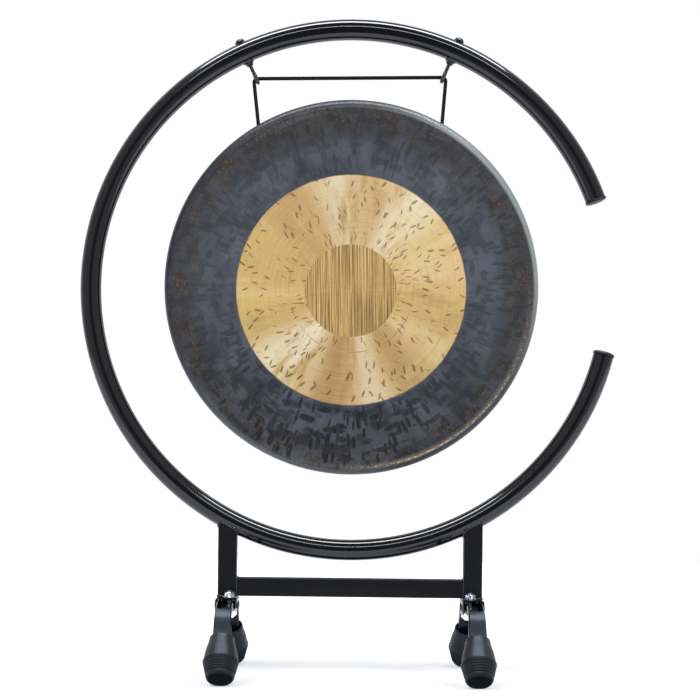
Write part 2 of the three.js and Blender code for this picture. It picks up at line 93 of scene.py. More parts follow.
LEG_REACH, LEG_MOUTH_WIDTH, LEG_EDGE, LEG_WEB_OFFSET, LEG_INSERT = 106.7, 24.4, 1.6, 7.4, 30
FOOT_LENGTH, FOOT_MOUTH_WALL, FOOT_LIP, FOOT_FLARE, FOOT_FLARE_AT = 62.6, 1.4, 1.2, 41, 20.5
FOOT_BELLY, FOOT_BELLY_AT, FOOT_SOLE, FOOT_SOLE_ROUND, FLOOR_FLAT = 46, 38, 32, 3.5, 1
GROOVE_COUNT, GROOVE_START, GROOVE_PITCH, GROOVE_WIDTH, GROOVE_DEPTH = 6, 38, 3.4, 3.3, 1.2
EYE_ANGLE = math.radians(23.85)
EYE_STOCK, EYE_OUTER, EYE_DROP = 5.2, 19.2, 33.3
SADDLE_WIDTH, SADDLE_HEIGHT, SADDLE_NECK = 17.6, 6, 9
CAP_NUT_WIDTH, CAP_NUT_HEIGHT, CAP_NUT_BRIM = 13.5, 5.6, 1.6
CORD_SIZE, KNOT_SIZE, KNOT_GAP = 5, 13, 0.9
GONG_SIZE, GONG_SHEET, GONG_DOME, GONG_SHOULDER, GONG_RIM_DEPTH, GONG_RIM_DRAW = 508, 2.2, 6, 13, 38, 3
GONG_HOLE, GONG_HOLE_DEPTH, GONG_HOLE_ANGLE, GONG_LIFT = 6.4, 14, math.radians(29.47), 2.83
GONG_PLACE = (-0.0484, -3.3199, 524.9096)
GONG_TURN = (0.999656, 0.024233, -0.010033, 0.000243)
SPACER_SIZE = 13.5
CLEAR = 0.3

SIDES, ENDS = ((-1, "left"), (1, "right")), ((-1, "front"), (1, "rear"))
HOOP = Matrix.Translation((0, 0, HOOP_HEIGHT)) @ Matrix.Rotation(-HOOP_TURN, 4, "Y")
random = np.random.default_rng(7)


# Nodes of a material


def fresh(name):
    made = bpy.data.materials.new(name)
    made.use_nodes = True
    tree = made.node_tree
    return made, tree, tree.nodes["Principled BSDF"]


def add(tree, kind, *links, **values):
    node = tree.nodes.new(kind)
    for key, value in values.items():
        setattr(node, key, value)
    for at, link in enumerate(links):
        if link is None:
            continue
        if isinstance(link, bpy.types.NodeSocket):
            tree.links.new(link, node.inputs[at])
        else:
            node.inputs[at].default_value = link
    return node


def calc(operation, *links, clamp=False):
    """A Math node for sockets and numbers, in the first socket's tree."""
    tree = next(link.id_data for link in links if isinstance(link, bpy.types.NodeSocket))
    return add(tree, "ShaderNodeMath", *links, operation=operation, use_clamp=clamp).outputs[0]


def gap(first, second):
    """How far apart two numbers are."""
    return calc("ABSOLUTE", calc("SUBTRACT", first, second))


def times(first, second):
    return calc("MULTIPLY", first, second)


def scaled(value, by, plus):
    return calc("MULTIPLY_ADD", value, by, plus)


def ramp(value, low, high):
    """From 0 at low to 1 at high, in a soft step."""
    node = add(value.id_data, "ShaderNodeMapRange", value, low, high, 0.0, 1.0)
    node.interpolation_type = "SMOOTHSTEP"
    return node.outputs[0]


def blend(share, first, second):
    tree = share.id_data
    node = tree.nodes.new("ShaderNodeMix")
    node.data_type = "RGBA"
    tree.links.new(share, node.inputs[0])
    for socket, link in ((node.inputs[6], first), (node.inputs[7], second)):
        if isinstance(link, bpy.types.NodeSocket):
            tree.links.new(link, socket)
        else:
            socket.default_value = tint(link)
    return node.outputs[2]


def stained(skin, *layers):
    """The skin under layers, each a mask, a strength and a colour."""
    for mask, strength, colour in layers:
        skin = blend(times(mask, strength), skin, colour)
    return skin


def tint(rgb):
    """A colour as it is read off a screen, from 0 to 255, as the shader takes it."""
    return (*[(c / 255 / 12.92 if c <= 10 else ((c / 255 + 0.055) / 1.055) ** 2.4) for c in rgb], 1)


def place_of(tree):
    """Where a point is on its piece, in millimetres."""
    spot = tree.nodes.new("ShaderNodeTexCoord").outputs["Object"]
    scale = add(tree, "ShaderNodeVectorMath", spot, operation="SCALE")
    scale.inputs["Scale"].default_value = 1 / MM
    return scale.outputs[0]


def noise(spot, scale, detail=3.0, rough=0.55, warp=0.0):
    node = add(spot.id_data, "ShaderNodeTexNoise", spot)
    node.inputs["Scale"].default_value = scale
    node.inputs["Detail"].default_value = detail
    node.inputs["Roughness"].default_value = rough
    node.inputs["Distortion"].default_value = warp
    return node.outputs[0]


def bump(surface, height, distance, strength=1.0):
    tree = height.id_data
    node = tree.nodes.new("ShaderNodeBump")
    node.inputs["Strength"].default_value = strength
    node.inputs["Distance"].default_value = distance * MM
    tree.links.new(height, node.inputs["Height"])
    tree.links.new(node.outputs[0], surface.inputs["Normal"])


def enamel(name, dark, light, rough, peel, peel_size, coat=0.0, shine=0.5):
    """Sprayed or dipped black paint: fine waves in its gloss and faint dust in its colour."""
    made, tree, surface = fresh(name)
    spot = place_of(tree)
    mottle = noise(spot, 0.05, 4)
    tree.links.new(blend(mottle, dark, light), surface.inputs["Base Color"])
    waves = noise(spot, 1 / peel_size, 2)
    level = scaled(waves, rough * 0.4, rough * 0.8)
    tree.links.new(level, surface.inputs["Roughness"])
    surface.inputs["Specular IOR Level"].default_value = shine
    surface.inputs["Coat Weight"].default_value = coat
    surface.inputs["Coat Roughness"].default_value = 0.06
    bump(surface, waves, peel)
    return made


SIDE_GLOSS, WEB_GLOSS = 0.06, 0.3
HOLLOW_AT, HOLLOW_PITCH = 69.0, 30


def leg_look():
    """Dipped steel: glassy on the legs' sides, softer on the web, where pressing left a hollow."""
    made, tree, surface = fresh("black_leg_steel")
    spot = place_of(tree)
    skin = blend(noise(spot, 0.05, 4), (7, 9, 14), (13, 16, 23))
    tree.links.new(skin, surface.inputs["Base Color"])
    normal = add(tree, "ShaderNodeSeparateXYZ", tree.nodes.new("ShaderNodeNewGeometry").outputs["Normal"])
    web = ramp(calc("ABSOLUTE", normal.outputs[0]), 0.9, 0.6)
    waves = noise(spot, 0.17, 2)
    softer = calc("SUBTRACT", scaled(waves, 0.04, WEB_GLOSS), SIDE_GLOSS)
    tree.links.new(scaled(softer, web, SIDE_GLOSS), surface.inputs["Roughness"])
    surface.inputs["Specular IOR Level"].default_value = 0.26
    surface.inputs["Specular Tint"].default_value = tint((222, 234, 255))
    axes = add(tree, "ShaderNodeSeparateXYZ", spot)
    off = calc("SUBTRACT", gap(axes.outputs[0], POST_SHIFT), POST_SPACING / 2)
    dip = scaled(times(off, off), -0.025, axes.outputs[2])
    turn = scaled(dip, TAU / HOLLOW_PITCH, -HOLLOW_AT * TAU / HOLLOW_PITCH)
    height = scaled(calc("COSINE", turn), -0.5, 0.5)
    bump(surface, times(scaled(waves, 0.02, height), web), 0.3)
    return made


def rubber_look():
    made, tree, surface = fresh("moulded_rubber")
    spot = place_of(tree)
    cloud = noise(spot, 0.06, 4)
    tree.links.new(blend(cloud, (24, 27, 31), (36, 39, 44)), surface.inputs["Base Color"])
    level = scaled(noise(spot, 0.7, 2), 0.12, 0.36)
    surface.inputs["Specular IOR Level"].default_value = 0.3
    surface.inputs["Specular Tint"].default_value = tint((226, 238, 255))
    tree.links.new(level, surface.inputs["Roughness"])
    bump(surface, noise(spot, 2.2, 3), 0.05)
    return made


def plated_look(name, dark, light, rough):
    made, tree, surface = fresh(name)
    spot = place_of(tree)
    cloud = noise(spot, 0.2, 3)
    tree.links.new(blend(ramp(cloud, 0.42, 0.58), dark, light), surface.inputs["Base Color"])
    surface.inputs["Metallic"].default_value = 1
    level = scaled(noise(spot, 1.2, 2), 0.2, rough)
    tree.links.new(level, surface.inputs["Roughness"])
    bump(surface, noise(spot, 1.6, 3), 0.04)
    return made


def weave_look():
    made, tree, surface = fresh("woven_cord")
    spot = place_of(tree)
    fibre = noise(spot, 1.8, 4)
    tree.links.new(blend(fibre, (5, 5, 6), (18, 18, 20)), surface.inputs["Base Color"])
    surface.inputs["Roughness"].default_value = 0.85
    surface.inputs["Sheen Weight"].default_value = 0.1
    surface.inputs["Specular IOR Level"].default_value = 0.3
    bump(surface, fibre, 0.3)
    return made


def polar(spot, at_x, at_z):
    """The distance from an axis along Y, and the direction from it."""
    axes = add(spot.id_data, "ShaderNodeSeparateXYZ", spot)
    dx = calc("SUBTRACT", axes.outputs[0], at_x)
    dz = calc("SUBTRACT", axes.outputs[2], at_z)
    far = calc("SQRT", scaled(dx, dx, times(dz, dz)))
    safe = calc("MAXIMUM", far, 0.01)
    return far, calc("DIVIDE", dx, safe), calc("DIVIDE", dz, safe)


def lobes(east, north, places):
    """How near a direction is to any of the places, each an angle, a narrowness and a strength."""
    total = 0.0
    for angle, narrow, strength in places:
        turn = math.radians(angle)
        along = times(north, math.sin(turn))
        facing = scaled(east, math.cos(turn), along)
        facing = calc("POWER", calc("MAXIMUM", facing, 0.0), narrow)
        total = scaled(facing, strength, total)
    return total


def around(way, turn, radial):
    """A space that goes round with the disc: turn sets the detail round it, radial the detail outwards."""
    far, east, north = way
    return add(
        far.id_data,
        "ShaderNodeCombineXYZ",
        times(east, turn),
        times(north, turn),
        times(far, radial),
    ).outputs[0]


def marks(way, turn, radial, size, soft, seed, spiral, bend):
    """Short hammer strokes that point at the centre, or lean from it where spiral winds the space."""
    far, east, north = way
    tree = far.id_data
    angle = times(far, spiral)
    cosine, sine = calc("COSINE", angle), calc("SINE", angle)
    first = calc("SUBTRACT", times(east, cosine), times(north, sine))
    second = calc("ADD", times(east, sine), times(north, cosine))
    space = around((far, first, second), turn, radial)
    seeds = (seed, seed * 1.7, seed * 0.6)
    shift = add(tree, "ShaderNodeVectorMath", space, seeds, operation="ADD").outputs[0]
    wave = add(tree, "ShaderNodeTexNoise")
    wave.inputs["Scale"].default_value = 1.3
    tree.links.new(shift, wave.inputs["Vector"])
    bends = (bend, bend, bend * 0.6)
    bent = add(tree, "ShaderNodeVectorMath", wave.outputs[1], bends, shift, operation="MULTIPLY_ADD")
    cell = add(tree, "ShaderNodeTexVoronoi", distance="MINKOWSKI")
    cell.inputs["Scale"].default_value = 1
    cell.inputs["Exponent"].default_value = 2.6
    tree.links.new(bent.outputs[0], cell.inputs["Vector"])
    return ramp(cell.outputs["Distance"], size + soft, size)


# Painted highlight and painted shade on the gong's gold face: an angle from the right, a narrowness and a
# strength
GOLD_PAINTED_SHADE = ((257, 60, 1.3), (303, 60, 1.1), (130, 25, 0.8), (165, 25, 0.5), (200, 60, 0.5), (345, 60, 0.3))
GOLD_PAINTED_SHINE = ((226, 30, 1.2), (281, 70, 0.6), (324, 60, 0.3), (97, 50, 0.8), (54, 30, 0.9), (18, 24, 0.3))
MANY_MARKS, SOME_MARKS = ((262, 2, 1.0),), ((20, 6, 0.12),)
CREASE_WORN = ((-38, 3, 0.26), (-78, 8, 0.16), (110, 12, 0.14))
# Painted highlight and painted shade on the rim's roll: an angle, a narrowness and a strength each, then
# their colours
RIM_PAINTED_HIGHLIGHT = ((8, 9, 1.0), (48, 12, 0.9), (248, 9, 0.4))
RIM_PAINTED_SHADE = ((138, 5, 0.6),)
PAINTED_HIGHLIGHT_METAL, UNLIT_METAL = (150, 156, 154), (22, 25, 29)
# Hammer strokes: detail round the disc and outwards, size, softness, seed, spiral and bend
GOLD_STROKES = ((15, 0.04, 0.13, 0.1, 3.1, 0.003, 0.5), (16, 0.042, 0.11, 0.1, 6.4, -0.0035, 0.5))
SMALL_STROKES = (27, 0.034, 0.24, 0.07, 8.3, 0.0004, 0.15)
LARGE_STROKES = (19, 0.032, 0.26, 0.08, 1.9, -0.0004, 0.18)
WIDE_STROKES = (6, 0.075, 0.26, 0.13, 4.7, 0.0, 0.9)
SPECKS = (60, 0.2, 0.13, 0.12, 5.7, 0.0, 0.35)
# Places on the face, in millimetres
FACE_AXIS, DISC_AXIS, CREASE_AXIS = (-0.6, -4.0), (-1.0, -4.8), (2.0, -3.0)
GOLD_EDGE, DISC_EDGE, SCRATCH_AT, CREASE_AT = 156.1, 61.8, 84.0, 241.5


def turned_gold(spot, way, rings):
    """Bronze that was turned bright: fine rings and strokes, with painted sheen: fans of painted highlight
    and painted shade where a light would run across the rings.
    """
    far, east, north = way
    bands = noise(around(way, 1.2, 0.3), 1, 4, 0.75)
    fans = noise(around(way, 5.5, 0.012), 1, 4, 0.65)
    cloud = noise(spot, 0.012, 3)
    gold = blend(ramp(cloud, 0.35, 0.65), (226, 193, 118), (229, 188, 120))
    pink = calc("POWER", calc("ABSOLUTE", north), 3.0)
    # painted shade: lobes where the turned gold is darker because the light does not catch it
    shade = lobes(east, north, GOLD_PAINTED_SHADE)
    gold = stained(gold, (pink, 0.5, (230, 190, 142)), (shade, 0.48, (170, 130, 76)))
    # painted highlight: whitish lobes along the fans
    shine = lobes(east, north, GOLD_PAINTED_SHINE)
    gold = stained(gold, (shine, ramp(fans, 0.3, 0.62), (255, 242, 206)))
    strokes = calc("MAXIMUM", *(marks(way, *stroke) for stroke in GOLD_STROKES))
    scratch = ramp(gap(far, SCRATCH_AT), 0.9, 0.2)
    broken = ramp(noise(around(way, 2, 0), 1, 2), 0.4, 0.6)
    gold = stained(
        gold,
        # painted sheen: light and dark radial streaks in the fans
        (ramp(fans, 0.54, 0.72), 0.35, (240, 216, 166)),
        (ramp(fans, 0.46, 0.3), 0.4, (168, 134, 82)),
        (ramp(rings, 0.5, 0.68), 0.28, (150, 116, 66)),
        (ramp(rings, 0.5, 0.36), 0.25, (250, 228, 174)),
        (ramp(bands, 0.58, 0.7), 0.3, (160, 124, 74)),
        (strokes, 0.68, (104, 62, 22)),
        (times(scratch, broken), 0.6, (140, 108, 64)),
    )
    return gold, strokes


def brushed_disc(spot):
    """The middle, brushed straight up and down."""

    def hairs(across, up, detail, rough=0.55):
        way = (across, 0.0, up)
        stretched = add(spot.id_data, "ShaderNodeVectorMath", spot, way, operation="MULTIPLY")
        return noise(stretched.outputs[0], 1, detail, rough)

    wide, coarse, fine = hairs(0.09, 0.006, 2), hairs(0.42, 0.003, 3, 0.7), hairs(1.1, 0.005, 4, 0.75)
    return stained(
        blend(ramp(wide, 0.38, 0.62), (202, 160, 92), (228, 188, 116)),
        (ramp(coarse, 0.5, 0.58), 0.65, (116, 90, 44)),
        (ramp(coarse, 0.47, 0.38), 0.5, (244, 214, 148)),
        (ramp(fine, 0.5, 0.58), 0.95, (92, 72, 34)),
        (ramp(fine, 0.47, 0.39), 0.6, (246, 216, 150)),
    )


def fired_band(spot, way):
    """The dark band keeps its fired skin: blue grey, with brown and black strokes."""
    far, east, north = way
    low = lobes(east, north, MANY_MARKS)
    near_rim = ramp(far, 186.0, 232.0)
    dull = scaled(low, -0.4, 0.75)
    brown = times(ramp(noise(spot, 0.05, 5, 0.65), 0.44, 0.6), near_rim)
    streaks = ramp(noise(around(way, 9, 0.012), 1, 3, 0.7), 0.5, 0.68)
    skin = stained(
        blend(ramp(noise(spot, 0.018, 4), 0.38, 0.62), (66, 72, 80), (83, 89, 98)),
        (near_rim, dull, (54, 54, 56)),
        (brown, 0.8, (62, 50, 42)),
        (streaks, 0.4, (44, 48, 56)),
    )
    crowd = scaled(low, 0.62, lobes(east, north, SOME_MARKS))
    crowd = calc("ADD", crowd, 0.42, clamp=True)
    small = times(marks(way, *SMALL_STROKES), 0.95)
    large = times(marks(way, *LARGE_STROKES), 0.95)
    wide = times(marks(way, *WIDE_STROKES), 0.9)
    patches = ramp(noise(around(way, 4, 0.04), 1, 4, 0.65), 0.48, 0.6)
    ribs = ramp(noise(around(way, 60, 0.03), 1, 3, 0.7), 0.35, 0.6)
    dark = times(calc("MAXIMUM", calc("MAXIMUM", small, large), wide), crowd)
    dark = calc("MAXIMUM", dark, times(patches, times(crowd, 0.7)))
    dark = times(dark, ramp(far, 150.0, 164.0))
    dark = times(dark, scaled(ribs, 0.3, 0.7))
    specks = times(marks(way, *SPECKS), times(brown, near_rim))
    return stained(blend(dark, skin, (9, 7, 7)), (specks, 0.6, (150, 112, 66))), dark


def scraped_crease(spot, way, skin):
    """The crease, scraped to the metal, most of all at the lower right, and the rim's roll with painted
    highlight towards the right and painted shade at the upper left.
    """
    far, east, north = polar(spot, *CREASE_AXIS)
    off_line = gap(far, CREASE_AT)
    rough = noise(around(way, 70, 0.5), 1, 4, 0.85, 0.6)
    broken = calc("ADD", rough, lobes(east, north, CREASE_WORN))
    scuff = times(ramp(off_line, 6.5, 1.5), ramp(broken, 0.6, 0.76))
    line = times(ramp(off_line, 1.6, 0.3), ramp(broken, 0.78, 0.88))
    return stained(
        skin,
        (scuff, 0.7, (112, 104, 96)),
        (line, 0.9, (240, 206, 158)),
        # painted highlight and painted shade on the rim's roll
        (lobes(east, north, RIM_PAINTED_HIGHLIGHT), ramp(far, 243.0, 248.0), PAINTED_HIGHLIGHT_METAL),
        (lobes(east, north, RIM_PAINTED_SHADE), ramp(far, 240.0, 246.0), UNLIT_METAL),
    )


def gong_look():
    """The gong's front."""
    made, tree, surface = fresh("hammered_bronze")
    spot = place_of(tree)
    way = polar(spot, *FACE_AXIS)
    far = way[0]
    rings = noise(around(way, 2.2, 1.3), 1, 5, 0.75)
    gold, strokes = turned_gold(spot, way, rings)
    middle = polar(spot, *DISC_AXIS)[0]
    inner = ramp(middle, DISC_EDGE + 0.8, DISC_EDGE)
    bright = blend(inner, gold, brushed_disc(spot))
    skin, dark = fired_band(spot, way)
    skin = scraped_crease(spot, way, skin)
    ragged = scaled(noise(around(way, 9, 0), 1, 3), 1.6, far)
    edge = ramp(ragged, GOLD_EDGE + 0.6, GOLD_EDGE)
    rust = ramp(ragged, GOLD_EDGE - 1.1, GOLD_EDGE + 0.1)
    bright = stained(bright, (rust, 0.75, (132, 92, 46)))
    tree.links.new(blend(edge, skin, bright), surface.inputs["Base Color"])
    tree.links.new(scaled(edge, 0.25, 0.12), surface.inputs["Metallic"])
    tree.links.new(scaled(rings, 0.2, 0.3), surface.inputs["Roughness"])
    surface.inputs["Anisotropic"].default_value = 0.7
    tangent = add(tree, "ShaderNodeTangent", direction_type="RADIAL", axis="Y").outputs[0]
    outside = add(tree, "ShaderNodeVectorMath", tangent, operation="SCALE")
    tree.links.new(calc("SUBTRACT", 1.0, inner), outside.inputs["Scale"])
    upright = add(tree, "ShaderNodeCombineXYZ", None, None, inner).outputs[0]
    tangent = add(tree, "ShaderNodeVectorMath", outside.outputs[0], upright, operation="ADD").outputs[0]
    tree.links.new(tangent, surface.inputs["Tangent"])
    dents = noise(around(way, 6, 0.03), 1, 2)
    pits = scaled(rings, 0.05, dents)
    pits = scaled(calc("MAXIMUM", dark, strokes), -0.12, pits)
    bump(surface, pits, 1.2, 0.6)
    return made


def patina_look():
    """The gong's back and rim, with painted highlight and painted shade on the rim's roll."""
    made, tree, surface = fresh("fired_patina")
    spot = place_of(tree)
    cloud = noise(spot, 0.02, 5, 0.6)
    far, east, north = polar(spot, 0, 0)
    at_rim = ramp(far, 240.0, 247.0)
    skin = stained(
        blend(ramp(cloud, 0.35, 0.65), (38, 43, 50), (54, 61, 68)),
        (ramp(noise(spot, 0.04, 5, 0.65), 0.5, 0.66), 0.7, (60, 50, 42)),
        (ramp(noise(spot, 0.25, 3, 0.7), 0.62, 0.72), 0.6, (128, 98, 60)),
        # painted highlight and painted shade on the rim's roll
        (lobes(east, north, RIM_PAINTED_HIGHLIGHT), at_rim, PAINTED_HIGHLIGHT_METAL),
        (lobes(east, north, RIM_PAINTED_SHADE), at_rim, UNLIT_METAL),
    )
    tree.links.new(skin, surface.inputs["Base Color"])
    surface.inputs["Metallic"].default_value = 0.2
    tree.links.new(scaled(cloud, 0.2, 0.3), surface.inputs["Roughness"])
    bump(surface, noise(spot, 0.06, 3), 1.0, 0.6)
    return made


GLOSS = enamel("black_enamel", (7, 6, 7), (11, 10, 11), 0.11, 0.002, 16, 0.2)
SATIN = enamel("black_powder_coat", (11, 11, 12), (18, 18, 19), 0.42, 0.03, 1.1, 0, 0.2)
PRESSED = enamel("black_pressed_steel", (9, 10, 12), (17, 19, 23), 0.2, 0.01, 6, 0, 0.4)
LEG_STEEL = leg_look()
# A lighter grey paint over the whole eye bolt than on the other black parts
EYE_PAINT = enamel("grey_eye_paint", (34, 36, 41), (62, 65, 72), 0.3, 0.02, 2)
WELD = enamel("painted_weld", (12, 12, 14), (20, 20, 22), 0.2, 0.2, 2.2, 0.2)
PLASTIC = enamel("moulded_cap", (9, 9, 11), (15, 15, 17), 0.38, 0.02, 1.4)
SPACER = enamel("black_spacer", (8, 8, 9), (15, 15, 17), 0.4, 0.02, 3)
RUBBER = rubber_look()
ZINC = plated_look("bright_zinc", (110, 116, 130), (250, 252, 255), 0.16)
DARK_STEEL = plated_look("blackened_steel", (38, 40, 45), (70, 74, 82), 0.34)
SCREW_STEEL = plated_look("screw_zinc", (104, 110, 122), (150, 156, 168), 0.3)
WEAVE = weave_look()
BRONZE = gong_look()
PATINA = patina_look()


# Meshes


def put(name, shape, look, body, stands_for=(), sharp=35, matrix=None, at=None):
    """A new piece. Its points are millimetres that matrix moves, or keep their own frame, placed by at."""
    points, faces = np.asarray(shape[0], float), shape[1]
    if matrix is not None:
        points = np.array(moved(matrix, points))
    mesh = bpy.data.meshes.new(name)
    mesh.from_pydata((points * MM).tolist(), [], faces)
    tidy = bmesh.new()
    tidy.from_mesh(mesh)
    bmesh.ops.remove_doubles(tidy, verts=tidy.verts, dist=1e-6)
    bmesh.ops.recalc_face_normals(tidy, faces=tidy.faces)
    tidy.to_mesh(mesh)
    tidy.free()
    finish_mesh(mesh, sharp)
    piece = placed_new(name, mesh)
    if at is not None:
        piece.matrix_world = at
    mesh.materials.append(look)
    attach(piece, body)
    if stands_for:
        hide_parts(*stands_for)
    return piece


def finish_mesh(mesh, sharp):
    mesh.polygons.foreach_set("use_smooth", [True] * len(mesh.polygons))
    mesh.set_sharp_from_angle(angle=math.radians(sharp))


def skin(rings, closed=False, caps=True):
    """Faces between rings of points that each go round once."""
    count, around = len(rings), len(rings[0])
    points = [p for ring in rings for p in ring]
    faces = []
    for i in range(count if closed else count - 1):
        j = (i + 1) % count
        for k in range(around):
            n = (k + 1) % around
            faces.append((i * around + k, i * around + n, j * around + n, j * around + k))
    if caps and not closed:
        faces.append(tuple(range(around))[::-1])
        faces.append(tuple(range((count - 1) * around, count * around)))
    return points, faces


def joined(first, second):
    """Two shapes as one."""
    faces = list(first[1]) + [tuple(k + len(first[0]) for k in face) for face in second[1]]
    return list(first[0]) + list(second[0]), faces


def lathe(profile, sides):
    """A turned body about Z, from radius and height pairs."""
    return skin([[(u, v, height) for u, v in disc(radius, sides)] for radius, height in profile])


def dome(radius, start, rise, steps=12, power=1.0):
    """Radius and height pairs that close a turned body with a quarter of an oval."""
    leans = [math.pi / 2 * i / steps for i in range(1, steps + 1)]
    return [(radius * math.cos(lean) ** power, start + rise * math.sin(lean)) for lean in leans]


def rounded(profile, size, steps=4):
    """A profile whose inner corners are cut round by size."""
    out = [profile[0]]
    for before, here, after in zip(profile, profile[1:], profile[2:]):
        a, b, c = (np.array(p, float) for p in (before, here, after))
        reach = min(size, np.linalg.norm(a - b) / 2, np.linalg.norm(c - b) / 2)
        if reach < 1e-6:
            out.append(here)
            continue
        start = b + (a - b) / np.linalg.norm(a - b) * reach
        end = b + (c - b) / np.linalg.norm(c - b) * reach
        for i in range(steps + 1):
            t = i / steps
            out.append(tuple((1 - t) ** 2 * start + 2 * t * (1 - t) * b + t * t * end))
    out.append(profile[-1])
    return out


def turned_frames(path, closed=False):
    """A centreline's points with two directions across it that don't twist."""
    path = np.asarray(path, float)
    if closed:
        ahead = np.roll(path, -1, 0) - np.roll(path, 1, 0)
    else:
        ahead = np.gradient(path, axis=0)
    ahead /= np.linalg.norm(ahead, axis=1)[:, None]
    side = np.cross(ahead[0], (0, 0, 1) if abs(ahead[0][2]) < 0.9 else (0, 1, 0))
    frames = []
    for point, direction in zip(path, ahead):
        side = side - direction * (side @ direction)
        side /= np.linalg.norm(side)
        frames.append((point, side, np.cross(direction, side)))
    return frames


def sweep(path, section, closed=False):
    """section(i) gives the ring's points at the path's point i, as pairs across it."""
    rings = []
    for i, (point, side, up) in enumerate(turned_frames(path, closed)):
        rings.append([tuple(point + u * side + v * up) for u, v in section(i)])
    return skin(rings, closed)


def round_bar(path, radius, sides, closed=False):
    ring = disc(radius, sides)
    return sweep(path, lambda i: ring, closed)


def disc(radius, sides):
    return [(radius * math.cos(TAU * k / sides), radius * math.sin(TAU * k / sides)) for k in range(sides)]


def spread(points, step):
    """The same line with points a step apart."""
    points = np.asarray(points, float)
    along = np.concatenate([[0], np.cumsum(np.linalg.norm(np.diff(points, axis=0), axis=1))])
    count = max(2, int(round(along[-1] / step)) + 1)
    ways = np.linspace(0, along[-1], count)
    return np.stack([np.interp(ways, along, points[:, i]) for i in range(3)], 1)


ROPE_SIDES, ROPE_PITCH, ROPE_STEP, ROPE_STRANDS, ROPE_RELIEF = 40, 17.0, 0.7, 2.5, 0.06


def rope(path, size):
    """A braided cord: strands that run round it both ways and pass over one another."""

    def section(i):
        twist = TAU * i * ROPE_STEP / ROPE_PITCH
        out = []
        for k in range(ROPE_SIDES):
            turn = TAU * k / ROPE_SIDES
            over = abs(math.cos(ROPE_STRANDS * (turn - twist)))
            under = abs(math.cos(ROPE_STRANDS * (turn + twist)))
            far = size / 2 * (1 - ROPE_RELIEF + ROPE_RELIEF * max(over, under) ** 0.7)
            out.append((far * math.cos(turn), far * math.sin(turn)))
        return out

    return sweep(spread(path, ROPE_STEP), section)


def moved(matrix, points):
    turn = np.array(matrix)
    return (np.asarray(points, float) @ turn[:3, :3].T + turn[:3, 3]).tolist()


def metres(points):
    return [tuple(float(v) * MM for v in point) for point in points]


# Cords: over the eyes, between them, and down to the gong's rim

WRAP = (EYE_STOCK + CORD_SIZE) / 2 + CLEAR
EYE_RING = (EYE_OUTER - EYE_STOCK) / 2
EYE_CENTRE = HOOP_TUBE / 2 + EYE_DROP - EYE_OUTER / 2
STOCK_RADIUS = HOOP_RADIUS - EYE_CENTRE - EYE_RING
STOCK_X, STOCK_Z = STOCK_RADIUS * math.sin(EYE_ANGLE), STOCK_RADIUS * math.cos(EYE_ANGLE)
AXIS_Z = STOCK_Z + WRAP
HOLE_DRAW = GONG_RIM_DRAW * (GONG_HOLE_DEPTH - GONG_SHOULDER) / (GONG_RIM_DEPTH - GONG_SHOULDER)
HOLE_RADIUS = GONG_SIZE / 2 - HOLE_DRAW - GONG_SHEET / 2
HOLE_X = HOLE_RADIUS * math.sin(GONG_HOLE_ANGLE)
HOLE_Z = GONG_LIFT + HOLE_RADIUS * math.cos(GONG_HOLE_ANGLE)
ASIDE, ABOVE = STOCK_X - HOLE_X, STOCK_Z - HOLE_Z
CORD_LEAN = math.atan2(ASIDE, ABOVE) + math.asin(WRAP / math.hypot(ASIDE, ABOVE))
RUN_TOP = (STOCK_X + WRAP * math.cos(CORD_LEAN), STOCK_Z - WRAP * math.sin(CORD_LEAN))
KNOT_DOWN = (GONG_SHEET / 2 + KNOT_GAP + KNOT_SIZE / 2) / math.cos(GONG_HOLE_ANGLE - CORD_LEAN)


def drop_line(side, past):
    """The cord's centreline from the top of an eye down to the gong's hole, and past it."""
    points = []
    for i in range(19):
        turn = (math.pi / 2 + CORD_LEAN) * i / 18
        points.append((side * (STOCK_X + WRAP * math.sin(turn)), 0, STOCK_Z + WRAP * math.cos(turn)))
    run = (RUN_TOP[1] - HOLE_Z) / math.cos(CORD_LEAN) + past
    for i in range(1, 25):
        down = run * i / 24
        aside = RUN_TOP[0] - down * math.sin(CORD_LEAN)
        points.append((side * aside, 0, RUN_TOP[1] - down * math.cos(CORD_LEAN)))
    return moved(HOOP, points)


def make_cords():
    half = STOCK_X - CLEAR / 2
    span = moved(HOOP, [(-half + 2 * half * i / 20, 0, AXIS_Z) for i in range(21)])
    piece = put("cord_rope_span", rope(span, CORD_SIZE), WEAVE, "frame", ["cord_span"])
    span = metres(span)
    for side, name in SIDES:
        line = drop_line(side, KNOT_DOWN - KNOT_SIZE / 2 - CLEAR)
        shape = rope(line, CORD_SIZE)
        drop = put("cord_rope_" + name, shape, WEAVE, "hanger", ["cord_drop_" + name])
        knot = make_knot(side, name)
        line = metres(line)


KNOT_LOOP, KNOT_RISE, KNOT_STRAND = 1.28, 1.9, 2.45
KNOT_CORE, KNOT_CORE_STRAND = 2.6 * 0.8, 2.3


